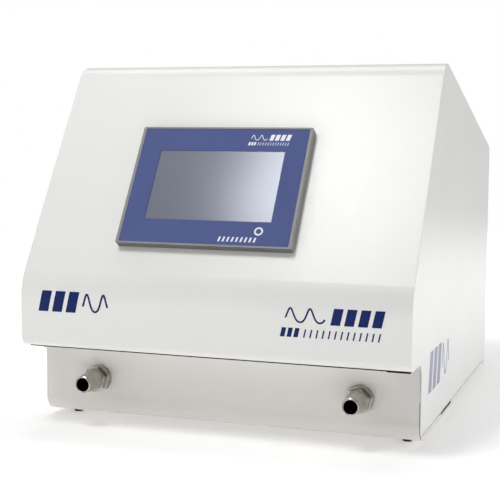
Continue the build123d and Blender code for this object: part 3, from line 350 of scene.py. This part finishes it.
def add_marks():
    new_piece("lip_mark_left", lambda bm: bold_and_wave(bm, front_skin, -207 * MM, 139.5 * MM, 1.0, 24 * MM),
              navy_ink)
    new_piece("lip_mark_right", lambda bm: wave_and_bold(bm, front_skin, 86 * MM, 128 * MM, 1.0),
              navy_ink)
    new_piece("side_mark", lambda bm: bold_and_wave(bm, side_skin, -190 * MM, 55 * MM, 1.5, 46 * MM),
              pale_ink)
    new_piece("panel_mark_top", lambda bm: wave_and_bold(bm, panel_skin, 30 * MM, 53.5 * MM, 0.44),
              white_ink)

    def bottom_mark(bm):
        stroke(bm, panel_skin, ring(64 * MM, -57.5 * MM, 4.2 * MM), 2.0 * MM, closed=True)
        for i in range(9):
            slanted_bar(bm, panel_skin, (18 + 5.2 * i) * MM, -71.5 * MM, 2.2 * MM, 6 * MM)
    new_piece("panel_mark_bottom", bottom_mark, white_ink)


def add_lip_shadow_gap_and_tab():
    """Painted shadow gap: a near-black strip along the lip's folded lower edge, deeper at its right end,
    standing in for the shade under the lip; and a tab at its left.
    """
    def strip(bm):
        front, back = lip_y + 10.6 * MM, lip_y + 12.2 * MM
        top = lip_bottom + 0.3 * MM
        stops = [(-224, 1.0), (-120, 1.1), (0, 1.2), (120, 1.25), (200, 1.3),  # place along X and drop, in mm
                 (203, 2.2), (226, 2.2), (227.5, 1.4)]
        rows = []
        for x, drop in stops:
            low = lip_bottom - drop * MM
            rows.append([bm.verts.new(Vector((x * MM, y, z)))
                         for y, z in ((front, top), (front, low), (back, low), (back, top))])
        skin(bm, rows)
        cap_ends(bm, rows)
    new_piece("lip_edge_strip", strip, lip_gap_shade)

    def tab(bm):
        outline = [(-208, -0.4), (-198, -0.4), (-199.2, -2.4),                 # X and height, in mm
                   (-200.4, -2.9), (-205.6, -2.9), (-206.8, -2.4)]
        faces = [[bm.verts.new((x * MM, lip_y + y * MM, lip_bottom + z * MM)) for x, z in outline]
                 for y in (12.4, 13.6)]
        skin(bm, faces)
        cap_ends(bm, faces)
    new_piece("lip_tab", tab, materials["case_paint"])


def add_edge_gap_shade():
    """Painted shade: a dark ribbon low in the upright gap between the lower front and the right side panel,
    standing in for the gap's shade.
    """
    top, bend_radius = tray_bottom + 46 * MM, 19.6 * MM
    inner, outer = side_x - 2.2 * MM, side_x - 1.5 * MM
    sunk, proud = -0.2 * MM, 0.05 * MM
    turns = [math.pi / 2 * i / 8 for i in range(1, 7)]

    def gap_shade_ribbon(bm):
        path = [(0, tray_front, top), (0, tray_front, tray_bottom + bend_radius)]
        path += [(turn, tray_front + bend_radius * (1 - math.cos(turn)),
                  tray_bottom + bend_radius * (1 - math.sin(turn))) for turn in turns]
        rows = []
        for turn, y, z in path:
            out = Vector((0, -math.cos(turn), -math.sin(turn)))
            rows.append([bm.verts.new(Vector((x, y, z)) + out * lift)
                         for x, lift in ((inner, sunk), (inner, proud), (outer, proud), (outer, sunk))])
        skin(bm, rows)
        cap_ends(bm, rows)
    # Painted shade: a dark plastic ribbon in place of the gap's shade.
    new_piece("edge_gap_shade", gap_shade_ribbon, materials["dark_plastic"])


SHADE_SLEEVE_SIDES = 48
SHADE_SLEEVE_STATIONS = [(0.15, 8.0), (0.7, 7.46), (2, 7.3), (24, 7.25), (24.6, 6.9),  # depth and radius, in mm
                   (26, 6.9), (26.6, 7.25), (48, 7.25), (49, 2.2)]


def add_port_shade_sleeves():
    """Painted shade: a near-black liner deep in each port's bore, closed at the back, put there so that the
    bore reads as dark as shade.
    """
    for name in ("inspiratory_port", "expiratory_port"):
        low, high = (Vector(corner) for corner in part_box(name))
        centre_x, centre_z = (low.x + high.x) / 2, (low.z + high.z) / 2

        def shade_sleeve(bm, x=centre_x, z=centre_z, mouth=low.y):
            rings = []
            for depth, radius in SHADE_SLEEVE_STATIONS:
                rings.append([bm.verts.new((x + radius * MM * math.cos(a), mouth + depth * MM,
                                            z + radius * MM * math.sin(a)))
                              for a in (2 * math.pi * i / SHADE_SLEEVE_SIDES for i in range(SHADE_SLEEVE_SIDES))])
            skin(bm, rings)
            bm.faces.new(rings[-1])
        new_piece(name.replace("port", "shade_sleeve"), shade_sleeve, bore_painted_shade)


add_marks()
add_lip_shadow_gap_and_tab()
add_edge_gap_shade()
add_port_shade_sleeves()


# ------------------------------------------------------------------ camera
CAMERA_PLACE = Vector((0.46905, lip_y - 1.20042, tray_bottom + 0.34264))
CAMERA_YAW, CAMERA_PITCH, CAMERA_ROLL = (math.radians(a) for a in (19.18, 5.83, 0.31))
CAMERA_LENS = 85.335


def add_camera():
    data = bpy.data.cameras.new("camera")
    data.sensor_width = 36
    data.lens = CAMERA_LENS
    camera = bpy.data.objects.new("camera", data)
    forward = Vector((-math.sin(CAMERA_YAW) * math.cos(CAMERA_PITCH),
                      math.cos(CAMERA_YAW) * math.cos(CAMERA_PITCH), -math.sin(CAMERA_PITCH)))
    right = Vector((math.cos(CAMERA_YAW), math.sin(CAMERA_YAW), 0))
    up = right.cross(forward)
    turned_right = right * math.cos(CAMERA_ROLL) + up * math.sin(CAMERA_ROLL)
    turned_up = up * math.cos(CAMERA_ROLL) - right * math.sin(CAMERA_ROLL)
    turn = Matrix((turned_right, turned_up, -forward)).transposed().to_4x4()
    camera.matrix_world = Matrix.Translation(CAMERA_PLACE) @ turn
    bpy.context.scene.collection.objects.link(camera)
    bpy.context.scene.camera = camera


add_camera()


# ------------------------------------------------------------------ studio
GLOW_UP, GLOW_RIGHT = 0.150, 0.140         # the bright spot on the slope, from its foot and the middle
GLOW_DISTANCE = 1.9
FLOOR_RADIUS = 2.6
FLOOR_GLOW = (0.26, 0.88)                  # emission under the object and far from it
FLOOR_GLOW_REACH = (0.3, 1.4)              # metres from the object over which it rises


def area_light(name, place, target, size, power):
    data = bpy.data.lights.new(name, "AREA")
    data.shape = "RECTANGLE"
    data.size, data.size_y = size
    data.energy = power
    light = bpy.data.objects.new(name, data)
    light.location = place
    light.rotation_euler = (Vector(target) - Vector(place)).to_track_quat("-Z", "Y").to_euler()
    bpy.context.scene.collection.objects.link(light)


def mirror_place(spot, distance):
    """Where a light stands for the camera to see its reflection at a spot on the slope."""
    incoming = (spot - CAMERA_PLACE).normalized()
    outgoing = incoming - 2 * incoming.dot(slope_normal) * slope_normal
    return spot + outgoing * distance


def floor_material():
    """White sweep that glows a little, more with distance, so that it meets the white surroundings."""
    material = speckled("floor_paper", (0.90, 0.90, 0.90), (0.93, 0.93, 0.93), 60, (0.85, 0.95), 0.0001,
                        tone_scale=1)
    tree = material.node_tree
    shader = tree.nodes["Principled BSDF"]
    coords = tree.nodes.new("ShaderNodeTexCoord")
    distance = tree.nodes.new("ShaderNodeVectorMath")
    distance.operation = "LENGTH"
    tree.links.new(coords.outputs["Object"], distance.inputs[0])
    glow = spread(tree, distance.outputs["Value"], *FLOOR_GLOW, *FLOOR_GLOW_REACH)
    tree.links.new(glow, shader.inputs["Emission Strength"])
    set_uniform(shader, Emission_Color=(1, 1, 1, 1))
    return material


def add_floor():
    turns = [math.radians(a) for a in range(0, 360, 4)]
    rim = [(FLOOR_RADIUS * math.cos(turn), FLOOR_RADIUS * math.sin(turn), 0) for turn in turns]
    mesh = bpy.data.meshes.new("floor")
    mesh.from_pydata(rim, [], [tuple(range(len(rim)))])
    mesh.materials.append(floor_material())
    floor = bpy.data.objects.new("floor", mesh)
    bpy.context.scene.collection.objects.link(floor)


def add_lights():
    spot = slope_foot + slope_up * GLOW_UP + Vector((GLOW_RIGHT, 0, 0))
    area_light("glow", mirror_place(spot, GLOW_DISTANCE), spot, (0.46, 0.56), 14.0)
    area_light("left_front", (-2.2, -1.8, 1.4), (0, 0, 0.2), (1.6, 1.6), 12.0)
    area_light("left_high", (-1.2, -1.4, 2.6), (0, 0, 0.3), (1.6, 1.6), 8.0)
    area_light("right_side", (2.8, 0.3, 1.0), (0, 0, 0.2), (1.6, 1.6), 30.0)
    area_light("above", (-0.2, 0.55, 2.2), (-0.1, 0, 0.3), (2.0, 0.8), 16.5)


def add_world():
    """Surroundings that are white to the camera and light the object only a little."""
    world = bpy.data.worlds.new("studio")
    world.use_nodes = True
    tree = world.node_tree
    lit = tree.nodes["Background"]
    lit.inputs["Strength"].default_value = 0.08
    lit.inputs["Color"].default_value = (1, 1, 1, 1)
    seen = tree.nodes.new("ShaderNodeBackground")
    seen.inputs["Strength"].default_value = 1.0
    seen.inputs["Color"].default_value = (1, 1, 1, 1)
    path = tree.nodes.new("ShaderNodeLightPath")
    mix = tree.nodes.new("ShaderNodeMixShader")
    tree.links.new(path.outputs["Is Camera Ray"], mix.inputs["Fac"])
    tree.links.new(lit.outputs["Background"], mix.inputs[1])
    tree.links.new(seen.outputs["Background"], mix.inputs[2])
    tree.links.new(mix.outputs["Shader"], tree.nodes["World Output"].inputs["Surface"])
    bpy.context.scene.world = world
    bpy.context.scene.view_settings.view_transform = "Standard"


add_lights()
add_floor()
add_world()
